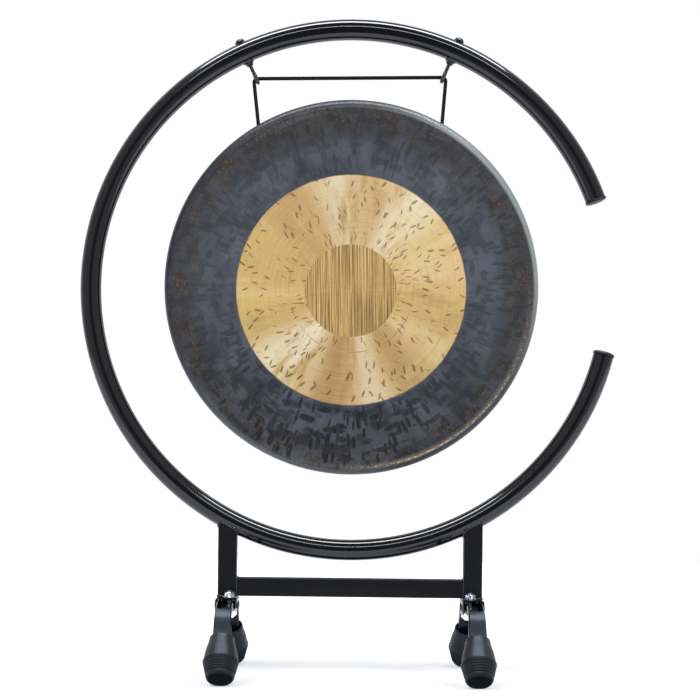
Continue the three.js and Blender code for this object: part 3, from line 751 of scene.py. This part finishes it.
def make_knot(side, name):
    """A tight overhand knot, filled by the cord that runs through it."""
    line = []
    for i in range(96):
        turn = TAU * i / 96
        line.append((
            KNOT_LOOP * (math.sin(turn) + 2 * math.sin(2 * turn)),
            KNOT_LOOP * (math.cos(turn) - 2 * math.cos(2 * turn)),
            -KNOT_RISE * math.sin(3 * turn),
        ))
    bends = ((0, -3.4), (2.4, -1), (4.1, 1.2), (0.5, 3.2))
    core = [(KNOT_CORE * math.cos(turn), KNOT_CORE * math.sin(turn), height) for turn, height in bends]
    core = round_bar(spread(core, 1.0), KNOT_CORE_STRAND, 12)
    shape = joined(round_bar(line, KNOT_STRAND, 14, True), core)
    x = side * (HOLE_X - KNOT_DOWN * math.sin(CORD_LEAN))
    place = HOOP @ Matrix.Translation((x, 0, HOLE_Z - KNOT_DOWN * math.cos(CORD_LEAN)))
    return put("knot_tied_" + name, shape, WEAVE, "hanger", ["knot_" + name], 60, place)


make_cords()

# Hoop

HOOP_STEPS, HOOP_SIDES, HOOP_EDGE, HOOP_EDGE_TURN, HOOP_LINING_TURN = 260, 56, 0.5, 0.0015, 0.045


def make_hoop():
    outer, bore = HOOP_TUBE / 2, HOOP_TUBE / 2 - HOOP_WALL
    first, last = MOUTH_TOP, TAU + MOUTH_BOTTOM
    start, end = first + HOOP_EDGE_TURN, last - HOOP_EDGE_TURN
    stations = [(first + HOOP_LINING_TURN, bore), (first, bore), (first, outer - HOOP_EDGE), (start, outer)]
    stations += [(start + (end - start) * i / HOOP_STEPS, outer) for i in range(1, HOOP_STEPS)]
    stations += [(end, outer), (last, outer - HOOP_EDGE), (last, bore), (last - HOOP_LINING_TURN, bore)]
    rings = []
    for turn, radius in stations:
        ring = []
        for u, v in disc(radius, HOOP_SIDES):
            far = HOOP_RADIUS + u
            ring.append((far * math.cos(turn), v, far * math.sin(turn)))
        rings.append(ring)
    put("hoop_bent_tube", skin(rings), GLOSS, "frame", ["ring_tube"], 40, HOOP)


def on_hoop(turn):
    spot = Vector((HOOP_RADIUS * math.cos(turn), 0, HOOP_RADIUS * math.sin(turn)))
    return HOOP @ Matrix.Translation(spot)


def outward(turn, sense):
    """A frame at one end of the hoop whose Z axis points out of the tube."""
    axis = Vector((-math.sin(turn) * sense, 0, math.cos(turn) * sense))
    return on_hoop(turn) @ axis.to_track_quat("Z", "Y").to_matrix().to_4x4()


CAP_EASE, CAP_EDGE = 0.9, 0.5


def make_caps():
    flange, spigot = CAP_FLANGE / 2, HOOP_TUBE / 2 - HOOP_WALL - CAP_EASE
    profile = rounded([
        (0, -CAP_SPIGOT), (spigot - 1, -CAP_SPIGOT), (spigot, 1 - CAP_SPIGOT), (spigot, CLEAR),
        (flange, CLEAR), (flange, CLEAR + CAP_RIM),
    ], CAP_EDGE)
    profile += dome(flange, CLEAR + CAP_RIM, CAP_DOME, power=0.8)
    for name, turn, sense in (("upper", MOUTH_TOP, -1), ("lower", MOUTH_BOTTOM, 1)):
        put("plug_" + name, lathe(profile, 56), PLASTIC, "frame", ["end_cap_" + name], 40,
            outward(turn, sense))


def at_eye(side):
    """A frame on the hoop's centreline whose Z axis points out of the hoop, at an eye bolt."""
    return on_hoop(math.pi / 2 - side * EYE_ANGLE) @ Matrix.Rotation(side * EYE_ANGLE, 4, "Y")


def thread(radius, start, end, pitch, depth, sides=36):
    """A screw thread about Z."""
    rows = int((end - start) / pitch * 8)
    rings = []
    for i in range(rows + 1):
        height = start + (end - start) * i / rows
        fade = min(1, (rows - i) / 6, i / 6 + 0.2)
        ring = []
        for k in range(sides):
            phase = (height / pitch - k / sides) % 1
            size = radius - depth * abs(2 * phase - 1) - (1 - fade) * depth * 0.8
            ring.append((size * math.cos(TAU * k / sides), size * math.sin(TAU * k / sides), height))
        rings.append(ring)
    return skin(rings)


EYE_BORE = EYE_STOCK / 2 + 0.2


def make_eyes():
    tube = HOOP_TUBE / 2
    turns = [TAU * i / 72 for i in range(72)]
    eye = [(0, EYE_RING * math.sin(turn), -EYE_CENTRE + EYE_RING * math.cos(turn)) for turn in turns]
    bolt = joined(
        round_bar(eye, EYE_STOCK / 2, 24, True),
        thread(EYE_STOCK / 2, EYE_RING - EYE_CENTRE - 1.5, tube + CAP_NUT_HEIGHT / 2, 0.8, 0.35, 30),
    )
    saddle = lathe(rounded([
        (EYE_BORE, -tube - SADDLE_HEIGHT), (SADDLE_NECK / 2, -tube - SADDLE_HEIGHT),
        (SADDLE_NECK / 2 + 0.3, -tube - SADDLE_HEIGHT * 0.55), (SADDLE_WIDTH / 2 - 1.6, -tube - 1.4),
        (SADDLE_WIDTH / 2, -tube + 1.2), (SADDLE_WIDTH / 2 - 1, -tube + 3.2), (EYE_BORE, -tube + 3.2),
    ], 1.2, 5), 48)
    brim, crown = tube + CLEAR + CAP_NUT_BRIM, tube + CLEAR + CAP_NUT_HEIGHT
    cap = [(CAP_NUT_WIDTH * 0.3, tube * 0.8), (CAP_NUT_WIDTH / 2, tube * 0.8), (CAP_NUT_WIDTH / 2, brim)]
    cap = lathe(rounded(cap, 0.4) + dome(CAP_NUT_WIDTH * 0.46, brim, crown - brim), 48)
    for side, name in SIDES:
        place = at_eye(side)
        put("eye_" + name, bolt, EYE_PAINT, "frame", ["eye_bolt_" + name], 40, place)
        put("flared_nut_" + name, saddle, GLOSS, "frame", ["saddle_nut_" + name], 40, place)
        put("dome_nut_" + name, cap, GLOSS, "frame", ["cap_nut_" + name], 45, place)


make_hoop()
make_caps()
make_eyes()

# Welds

WELD_STEP, WELD_SWELLS, WELD_RIPPLE, WELD_RIPPLE_PITCH = 0.7, 40, 0.14, 3.1
HOOP_WELD, BRACKET_WELD, CROSSBAR_WELD, WELD_OFF = 1.9, 1.3, 1.3, 0.3


def bead(name, line, size):
    """A weld's run round a closed line, in ripples."""
    line = spread(list(line) + [line[0]], WELD_STEP)[:-1]
    swell = random.uniform(0.78, 1.22, WELD_SWELLS)

    def section(i):
        slow = np.interp(i / (len(line) - 1) * (WELD_SWELLS - 1), range(WELD_SWELLS), swell)
        ripple = 1 + WELD_RIPPLE * math.sin(TAU * i * WELD_STEP / WELD_RIPPLE_PITCH)
        return disc(size * slow * ripple, 12)

    put(name, sweep(line, section, closed=True), WELD, "frame", (), 60)


def square_line(half):
    """The outline of a square tube, with its corners rounded."""
    inner = half - POST_CORNER
    points = []
    for at_x, at_y, start in ((1, 1, 0), (-1, 1, 90), (-1, -1, 180), (1, -1, 270)):
        for i in range(7):
            turn = math.radians(start + 90 * i / 6)
            bend_x, bend_y = POST_CORNER * math.cos(turn), POST_CORNER * math.sin(turn)
            points.append((at_x * inner + bend_x, at_y * inner + bend_y))
    return points


def make_welds():
    half = POST_SIZE / 2
    for side, name in SIDES:
        post_x = POST_SHIFT + side * POST_SPACING / 2
        ring = []
        for u, y, _ in spread([(u, v, 0) for u, v in square_line(half - 0.2)], 1.0):
            x = post_x + u
            far = HOOP_RADIUS + math.sqrt((HOOP_TUBE / 2) ** 2 - y * y)
            ring.append((x, y, HOOP_HEIGHT - math.sqrt(far * far - x * x) - WELD_OFF))
        bead("weld_hoop_" + name, ring, HOOP_WELD)
        foot = [(post_x + u, v, POST_FOOT + 0.5) for u, v in square_line(half + 0.2)]
        bead("weld_bracket_" + name, foot, BRACKET_WELD)
        bar_z = POST_FOOT + CROSSBAR_LIFT + half
        face_x = POST_SHIFT + side * (POST_SPACING / 2 - half - WELD_OFF)
        end = [(face_x, u, bar_z + v) for u, v in square_line(half - 0.1)]
        bead("weld_crossbar_" + name, end, CROSSBAR_WELD)


make_welds()

# Fasteners

NUT_BORE, NUT_CROWN, NUT_CHAMFER, NUT_EDGE = 3.4, 4.1, 1.25, 0.3


def nut_shape():
    """A hexagon nut with a chamfered crown, on a round flange."""
    top = CLEAR + NUT_FLANGE_HEIGHT + NUT_HEIGHT
    flats, flange = NUT_FLATS / 2, NUT_FLANGE / 2
    rows = [(NUT_BORE + 0.1, CLEAR), (flange - NUT_EDGE, CLEAR), (flange, CLEAR + 0.4)]
    rows += [(flange - NUT_EDGE, CLEAR + NUT_FLANGE_HEIGHT * 0.7), (None, CLEAR + NUT_FLANGE_HEIGHT)]
    rows += [(None, top - down) for down in (1.1, 0.7, 0.3, 0)]
    rows += [(NUT_CROWN, top), (NUT_BORE, top - 0.6)]
    rings = []
    for radius, height in rows:
        ring = []
        for k in range(72):
            turn = TAU * k / 72
            size = radius
            if radius is None:
                corner = flats / math.cos((turn + TAU / 12) % (TAU / 6) - TAU / 12)
                size = min(corner, flats * 0.97 + (top - height) * NUT_CHAMFER)
            ring.append((size * math.cos(turn), size * math.sin(turn), height))
        rings.append(ring)
    return skin(rings)


STUD_PITCH, STUD_DEPTH, PIN_EDGE, EAR_GAP, LEG_SHEET = 1.25, 0.45, 0.25, 1.6, 2


def corners():
    """The name, the post's place across, and the two signs of each leg."""
    for side, left in SIDES:
        for fore, end in ENDS:
            yield left + "_" + end, POST_SHIFT + side * POST_SPACING / 2, side, fore


def make_fasteners():
    top = CLEAR + NUT_FLANGE_HEIGHT + NUT_HEIGHT + SCREW_TAIL
    stud = thread(SCREW_SIZE / 2, -SCREW_DROP, top, STUD_PITCH, STUD_DEPTH)
    face = BRACKET_INSIDE / 2 + BRACKET_SHEET + CLEAR
    head = [(PIN_SIZE / 2, face), (PIN_HEAD / 2 - 0.15, face), (PIN_HEAD / 2, face + PIN_EDGE)]
    head += dome(PIN_HEAD / 2, face + PIN_EDGE, PIN_HEAD_HEIGHT - PIN_EDGE, 8)
    rivet = lathe([(radius, -height) for radius, height in head[::-1]] + head, 40)
    reach, hole = BRACKET_INSIDE / 2 - EAR_GAP - LEG_SHEET - CLEAR, PIN_SIZE / 2 + 0.1
    sleeve = [(hole, -reach), (SPACER_SIZE / 2, -reach), (SPACER_SIZE / 2, reach), (hole, reach)]
    sleeve = lathe(rounded(sleeve, 0.8, 5), 48)
    for name, post_x, side, fore in corners():
        spot = Matrix.Translation((post_x - side * SCREW_INBOARD, fore * SCREW_REACH, POST_FOOT))
        put("flange_nut_" + name, nut_shape(), ZINC, "frame", ["lock_nut_" + name], 25, spot)
        put("threaded_stud_" + name, stud, SCREW_STEEL, "frame", ["stop_screw_" + name], 50, spot)
        spot = Matrix.Translation((post_x, fore * PIVOT_REACH, POST_FOOT - PIVOT_DROP))
        spot = spot @ Matrix.Rotation(math.pi / 2, 4, "Y")
        put("rivet_" + name, rivet, DARK_STEEL, "frame", ["pivot_pin_" + name], 40, spot)
        put("spacer_" + name, sleeve, SPACER, "frame", (), 40, spot)


make_fasteners()

# Rubber feet

SOCKET_SIDES, LIP_END = 16, 7.2


def foot_profile():
    corner = math.hypot(LEG_MOUTH_WIDTH / 2 - LEG_EDGE, LEG_WEB_OFFSET - LEG_EDGE) + LEG_EDGE
    socket = (corner + CLEAR) / math.cos(math.pi / SOCKET_SIDES)
    mouth = socket + FOOT_MOUTH_WALL
    belly = FOOT_BELLY / 2
    band_end = GROOVE_START + GROOVE_COUNT * GROOVE_PITCH
    band = FOOT_SOLE / 2 + FOOT_SOLE_ROUND * 0.7

    def slope(height):
        share = (height - FOOT_BELLY_AT) / (band_end - FOOT_BELLY_AT)
        return belly + (band - belly) * share, height

    depth = LEG_INSERT + CLEAR
    inner = [(0, depth), (socket - 1, depth), (socket, depth - 1), (socket, 0.4)]
    bend, shoulder = (mouth + FOOT_LIP / 2, FOOT_LIP), (mouth + FOOT_LIP, LIP_END)
    lip = rounded([(socket, 0.4), (socket + 0.2, 0), (mouth - 0.5, 0), bend, shoulder], 0.5)
    side = rounded([shoulder, (FOOT_FLARE / 2, FOOT_FLARE_AT), (belly, FOOT_BELLY_AT), slope(39.0)], 9, 8)
    grooves = []
    for i in range(GROOVE_COUNT):
        for k in range(-6, 7):
            radius, height = slope(GROOVE_START + GROOVE_PITCH * i + k * GROOVE_WIDTH / 12)
            grooves.append((radius - GROOVE_DEPTH * (0.5 + 0.5 * math.cos(math.pi * k / 6)), height))
    sole = rounded([slope(58.0), (band, band_end), (FOOT_SOLE / 2, FOOT_LENGTH), (0, FOOT_LENGTH)], 2.4, 6)
    return inner + lip[1:] + side[1:] + grooves + sole


MOUTH_Z = FOOT_SOLE / 2 * math.sin(LEG_RAKE) + FOOT_LENGTH * math.cos(LEG_RAKE) - FLOOR_FLAT


def make_feet():
    """The rubber feet lean with the legs, and the floor flattens their soles."""
    points, faces = lathe(foot_profile(), 96)
    points = np.asarray(points)
    across, down = points[:, 1], points[:, 2]
    lean_y = LEG_REACH + down * math.sin(LEG_RAKE) + across * math.cos(LEG_RAKE)
    lean_z = MOUTH_Z - down * math.cos(LEG_RAKE) + across * math.sin(LEG_RAKE)
    for name, post_x, _, fore in corners():
        placed = np.stack([points[:, 0] + post_x, lean_y * fore, np.maximum(lean_z, 0)], 1)
        body = "leg_" + name + "_body"
        put("boot_" + name, (placed, faces), RUBBER, body, ["rubber_foot_" + name], 40)


make_feet()

# Gong

GONG_CREASE = GONG_SIZE / 2 - GONG_SHOULDER
GONG_LIP = 0.5
# The patina covers the rim and back: what faces backwards, lies this deep, or this far behind the face
GONG_SIDES, PATINA_FACING, PATINA_DEPTH, PATINA_BEHIND = 256, 0.2, 9, 1.6


def dish(radius):
    """The depth of the gong's face, which swells forwards inside its crease."""
    return -GONG_DOME * (1 - (radius / GONG_CREASE) ** 2)


def bend_of(size, angles):
    """The gong's shoulder in profile, with this bend radius."""
    return [(GONG_CREASE + size * math.cos(t), GONG_SHOULDER + size * math.sin(t)) for t in angles]


def gong_profile():
    """Radius and depth, from the middle of the front over the rim to the middle of the back."""
    front = [(GONG_CREASE * i / 40, dish(GONG_CREASE * i / 40)) for i in range(40)]
    back = [(r, d + GONG_SHEET) for r, d in front[::-1]]
    outer = bend_of(GONG_SHOULDER, [-math.pi / 2 + math.pi / 2 * i / 14 for i in range(15)])
    inner = bend_of(GONG_SHOULDER - GONG_SHEET, [-math.pi / 2 * i / 14 for i in range(15)])
    outside = GONG_SIZE / 2 - GONG_RIM_DRAW
    inside = outside - GONG_SHEET
    lip = [(outside, GONG_RIM_DEPTH - GONG_LIP), (outside - GONG_LIP, GONG_RIM_DEPTH)]
    lip += [(inside + GONG_LIP, GONG_RIM_DEPTH), (inside, GONG_RIM_DEPTH - GONG_LIP)]
    return front + outer + lip + inner + back


def make_gong():
    rings = [[(u, depth, v) for u, v in disc(radius, GONG_SIDES)] for radius, depth in gong_profile()]
    at = Matrix.Translation(Vector(GONG_PLACE) * MM) @ Quaternion(GONG_TURN).to_matrix().to_4x4()
    shape = skin(rings, caps=False)
    piece = put("gong_disc", shape, BRONZE, "gong", ["gong"], 50, None, at)
    piece.data.materials.append(PATINA)
    for polygon in piece.data.polygons:
        x, depth, z = polygon.center / MM
        behind = depth > PATINA_DEPTH or depth > dish(math.hypot(x, z)) + PATINA_BEHIND
        if behind or polygon.normal.y > PATINA_FACING:
            polygon.material_index = 1
    drill_gong(piece)


def drill_gong(piece):
    """The two holes that the cord goes through."""
    for side, _ in SIDES:
        points, faces = round_bar(drop_line(side, KNOT_SIZE)[-6:], GONG_HOLE / 2, 24)
        mesh = bpy.data.meshes.new("drill")
        mesh.from_pydata(metres(points), [], faces)
        drill = placed_new("drill", mesh)
        cut = piece.modifiers.new("hole", "BOOLEAN")
        cut.operation = "DIFFERENCE"
        cut.solver = "EXACT"
        cut.object = drill
        bpy.context.view_layer.update()
        ready = piece.evaluated_get(bpy.context.evaluated_depsgraph_get())
        holed = bpy.data.meshes.new_from_object(ready)
        piece.modifiers.clear()
        piece.data = holed
        bpy.data.objects.remove(drill)
    finish_mesh(piece.data, 40)


make_gong()

# Pieces of the part that show as they are


def dress(node, look, width):
    """Smooths a carried-over piece's shading, rounds its edges a little when width is given, and gives it
    its finish.
    """
    piece = nodes[node]
    mesh = piece.data
    for attribute in [a for a in mesh.attributes if a.name == "custom_normal"]:
        mesh.attributes.remove(attribute)
    mesh.polygons.foreach_set("use_smooth", [True] * len(mesh.polygons))
    weld = piece.modifiers.new("weld", "WELD")
    weld.merge_threshold = 1e-5
    if width:
        soft = piece.modifiers.new("soft_edges", "BEVEL")
        soft.width = width * MM
        soft.segments = 2
        soft.limit_method = "ANGLE"
        soft.angle_limit = math.radians(35)
    split = piece.modifiers.new("split", "EDGE_SPLIT")
    split.split_angle = math.radians(32)
    mesh.materials.clear()
    mesh.materials.append(look)


for _, side in SIDES:
    dress("upright_" + side, SATIN, 0)
    dress("bracket_" + side, PRESSED, 0.3)
    for _, end in ENDS:
        dress("leg_" + side + "_" + end, LEG_STEEL, 0)
dress("crossbar", SATIN, 0)

# Studio, in metres

FLOOR_ACROSS, FLOOR_ALONG, SHADE_AT = (-2.6, 2.6), (-0.95, 3.2), 175.0
WORLD_LEVEL = 0.55


def make_floor():
    """A pale floor that melts into the white background, with painted shade near the feet in its bounce
    light and in its reflections.
    """
    mesh = bpy.data.meshes.new("floor")
    (left, right), (near, back) = FLOOR_ACROSS, FLOOR_ALONG
    ends = [(left, near, 0), (right, near, 0), (right, back, 0), (left, back, 0)]
    mesh.from_pydata(ends, [], [(0, 1, 2, 3)])
    floor = placed_new("floor", mesh)
    made, tree, surface = fresh("pale_floor")
    spot = place_of(tree)
    paths = tree.nodes.new("ShaderNodeLightPath")
    ground = add(tree, "ShaderNodeSeparateXYZ", spot)
    aside = calc("SUBTRACT", gap(ground.outputs[0], POST_SHIFT), POST_SPACING / 2)
    ahead = calc("SUBTRACT", calc("ABSOLUTE", ground.outputs[1]), SHADE_AT)
    off_foot = calc("SQRT", scaled(aside, aside, times(ahead, ahead)))
    pale = blend(noise(spot, 0.002, 2), (240, 240, 241), (246, 246, 247))
    # painted shade near the feet, for every ray but the camera's
    shaded = blend(ramp(off_foot, 30.0, 130.0), (80, 82, 86), pale)
    tree.links.new(blend(paths.outputs["Is Camera Ray"], shaded, pale), surface.inputs["Base Color"])
    surface.inputs["Roughness"].default_value = 0.9
    surface.inputs["Specular IOR Level"].default_value = 0
    away = add(tree, "ShaderNodeVectorMath", spot, operation="LENGTH").outputs["Value"]
    outer = ramp(away, 260.0, 880.0)
    level = scaled(outer, 0.55, 0.42)
    # painted shade near the feet in reflections
    clear = ramp(off_foot, 25.0, 85.0)
    mirrored = calc("SUBTRACT", scaled(clear, 0.6, 0.05), level)
    dim = times(paths.outputs["Is Glossy Ray"], mirrored)
    hue = blend(paths.outputs["Is Glossy Ray"], (255, 255, 255), (226, 236, 255))
    glow = add(tree, "ShaderNodeEmission", hue, calc("ADD", level, dim))
    both = add(tree, "ShaderNodeAddShader", surface.outputs[0], glow.outputs[0])
    seen = calc("MAXIMUM", paths.outputs["Is Camera Ray"], paths.outputs["Is Glossy Ray"])
    shown = add(tree, "ShaderNodeMixShader", seen, surface.outputs[0], both.outputs[0])
    tree.links.new(shown.outputs[0], tree.nodes["Material Output"].inputs["Surface"])
    mesh.materials.append(made)


def lamp(name, spot, aim, sides, power, tone=(1, 1, 1), diffuse=True, glossy=True):
    data = bpy.data.lights.new(name, "AREA")
    data.shape = "RECTANGLE"
    data.size, data.size_y = sides
    data.energy = power
    data.color = tone
    light = placed_new(name, data)
    light.location = spot
    light.rotation_mode = "QUATERNION"
    light.rotation_quaternion = (Vector(aim) - Vector(spot)).to_track_quat("-Z", "Y")
    light.visible_camera = False
    light.visible_diffuse = diffuse
    light.visible_glossy = glossy


def make_world():
    """White to the camera, and plain soft light, darker in front of what mirrors it."""
    world = bpy.data.worlds.new("studio")
    bpy.context.scene.world = world
    world.use_nodes = True
    tree = world.node_tree
    paths = tree.nodes.new("ShaderNodeLightPath")
    seen = calc("MAXIMUM", paths.outputs["Is Camera Ray"], paths.outputs["Is Transmission Ray"])
    way = add(tree, "ShaderNodeSeparateXYZ", tree.nodes.new("ShaderNodeTexCoord").outputs["Generated"])
    behind = ramp(way.outputs[1], -0.1, 0.6)
    beside = ramp(calc("ABSOLUTE", way.outputs[0]), 0.04, 0.5)
    mirrored = scaled(beside, 0.42, 0.13)
    mirrored = scaled(behind, 0.5, mirrored)
    plain = tree.nodes["Background"]
    tree.links.new(blend(seen, (243, 247, 255), (255, 255, 255)), plain.inputs[0])
    mirrored = calc("SUBTRACT", mirrored, WORLD_LEVEL)
    level = scaled(paths.outputs["Is Glossy Ray"], mirrored, WORLD_LEVEL)
    level = calc("MAXIMUM", level, times(seen, 1.01))
    tree.links.new(level, plain.inputs[1])


make_floor()
make_world()
lamp("key", (-1.3, -2.6, 2.6), (0, 0, 0.45), (1.6, 1.6), 52, glossy=False)
lamp("fill", (1.8, -2.2, 2.1), (0, 0, 0.5), (1.3, 1.3), 34, glossy=False)
lamp("top_strip", (0, -0.22, 3.35), (0, -0.1, 0.5), (3.5, 0.75), 160, (0.9, 0.95, 1), diffuse=False)
lamp("front_strip", (0, -3.6, 2.87), (0, 0, 0.5), (2.9, 0.36), 38, (0.85, 0.92, 1), diffuse=False)
